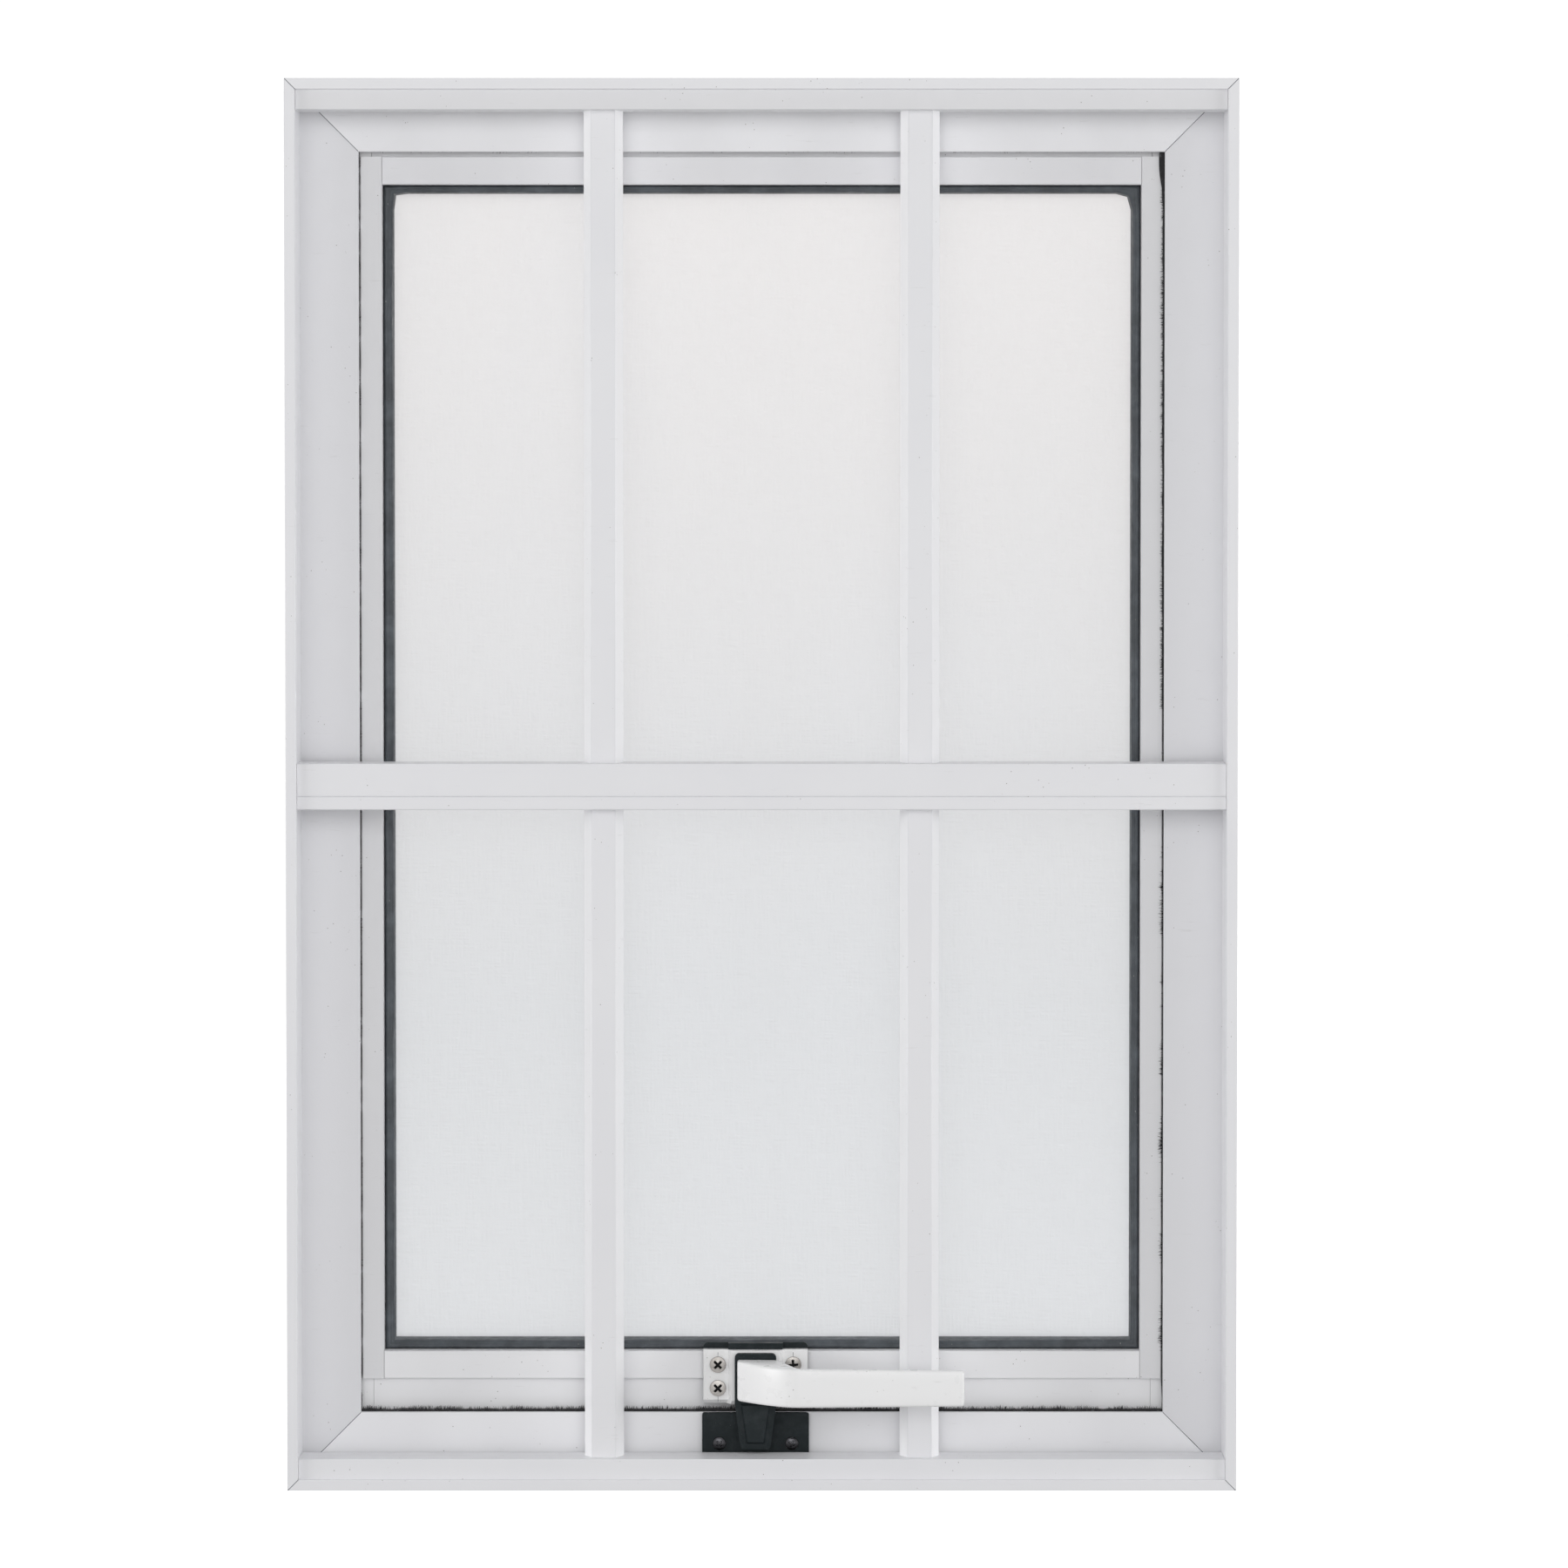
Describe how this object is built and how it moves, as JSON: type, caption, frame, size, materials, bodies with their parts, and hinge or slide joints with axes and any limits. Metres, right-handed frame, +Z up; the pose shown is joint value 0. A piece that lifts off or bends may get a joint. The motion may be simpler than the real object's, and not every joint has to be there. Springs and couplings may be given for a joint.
{
  "type": "barred projecting window",
  "caption": "White top-hung projecting window with a built-in bar grille, patterned glass pane, turning lever catch and friction stays.",
  "frame": {"origin": "middle of the sill's flat underside, halfway through the frame's depth", "axes": "+X right seen from the room, +Y from the room to the outside, +Z up"},
  "size_m": [0.4, 0.0813, 0.594],
  "materials": {
    "white_powder_coat": "white satin powder coat on aluminium extrusion",
    "handle_white": "white powder coat on die-cast alloy",
    "black_plastic": "fine-grained black nylon",
    "black_steel": "blackened steel",
    "gasket_rubber": "dark grey rubber",
    "pile": "dark woven pile",
    "patterned_glass": "fine patterned obscure glass",
    "stainless_steel": "stainless",
    "galvanized_steel": "zinc plated",
    "stay_metal": "mill finish",
    "white_nylon": "moulded nylon"
  },
  "bodies": {
    "frame": {"frame_sill": "white_powder_coat", "frame_head": "white_powder_coat", "frame_jamb_left": "white_powder_coat", "frame_jamb_right": "white_powder_coat", "frame_corner_cleats": "galvanized_steel", "pile_seal_sill": "pile", "pile_seal_head": "pile", "pile_seal_jamb_left": "pile", "pile_seal_jamb_right": "pile", "grille_rail_bottom": "white_powder_coat", "grille_rail_top": "white_powder_coat", "grille_crossbar": "white_powder_coat", "grille_bar_lower_left": "white_powder_coat", "grille_bar_lower_right": "white_powder_coat", "grille_bar_upper_left": "white_powder_coat", "grille_bar_upper_right": "white_powder_coat", "grille_bar_screws_bottom": "stainless_steel", "grille_bar_screws_top": "stainless_steel", "grille_bar_studs": "stainless_steel", "grille_end_screws": "stainless_steel", "strike_plate": "black_plastic", "strike_screws": "black_steel", "stay_track_left": "stay_metal", "stay_track_right": "stay_metal", "stay_anchor_rivet_left": "stainless_steel", "stay_anchor_rivet_right": "stainless_steel", "stay_track_screws": "stainless_steel"},
    "stay_arm_left": {"stay_arm_left": "stay_metal"},
    "stay_arm_right": {"stay_arm_right": "stay_metal"},
    "sash": {"sash_rail_bottom": "white_powder_coat", "sash_rail_top": "white_powder_coat", "sash_stile_left": "white_powder_coat", "sash_stile_right": "white_powder_coat", "sash_corner_screws": "stainless_steel", "glazing_bead_left": "white_powder_coat", "glazing_bead_right": "white_powder_coat", "glazing_bead_bottom": "white_powder_coat", "glazing_bead_top": "white_powder_coat", "glass_pane": "patterned_glass", "glazing_gasket_inner": "gasket_rubber", "glazing_gasket_outer": "gasket_rubber", "glass_setting_blocks": "black_plastic", "handle_base": "handle_white", "handle_backplate": "black_plastic", "handle_screws": "stainless_steel", "stay_vent_bar_left": "stay_metal", "stay_vent_bar_right": "stay_metal", "stay_joint_rivet_left": "stainless_steel", "stay_joint_rivet_right": "stainless_steel", "stay_shoe_pin_left": "stainless_steel", "stay_shoe_pin_right": "stainless_steel", "stay_vent_bar_screws": "stainless_steel"},
    "lever": {"lever_handle": "handle_white", "catch_tongue": "black_plastic", "lever_spindle": "stainless_steel", "lever_washer": "stainless_steel"},
    "shoe_left": {"stay_shoe_left": "white_nylon"},
    "shoe_right": {"stay_shoe_right": "white_nylon"}
  },
  "joints": [
    {"name": "sash_swing", "type": "hinge", "parent": "stay_arm_left", "child": "sash", "pos_m": [-0.18875, 0.00975, 0.458], "axis": [1, 0, 0], "range_deg": [0, 90]},
    {"name": "stay_arm_left_turn", "type": "hinge", "parent": "frame", "child": "stay_arm_left", "pos_m": [-0.18875, 0.00975, 0.348], "axis": [-1, 0, 0], "range_deg": [0, 45]},
    {"name": "stay_arm_right_turn", "type": "hinge", "parent": "frame", "child": "stay_arm_right", "pos_m": [0.18875, 0.00975, 0.348], "axis": [-1, 0, 0], "range_deg": [0, 45]},
    {"name": "shoe_left_turn", "type": "hinge", "parent": "sash", "child": "shoe_left", "pos_m": [-0.1951, 0.00975, 0.568], "axis": [-1, 0, 0], "range_deg": [0, 45]},
    {"name": "shoe_right_turn", "type": "hinge", "parent": "sash", "child": "shoe_right", "pos_m": [0.1951, 0.00975, 0.568], "axis": [-1, 0, 0], "range_deg": [0, 45]},
    {"name": "lever_turn", "type": "hinge", "parent": "sash", "child": "lever", "pos_m": [-0.0027, -0.0139, 0.045], "axis": [0, -1, 0], "range_deg": [0, 90]}
  ],
  "couplings": [
    {"joint": "stay_arm_left_turn", "follows": "sash_swing", "ratio": 0.5},
    {"joint": "stay_arm_right_turn", "follows": "sash_swing", "ratio": 0.5},
    {"joint": "shoe_left_turn", "follows": "sash_swing", "ratio": 0.5},
    {"joint": "shoe_right_turn", "follows": "sash_swing", "ratio": 0.5}
  ]
}
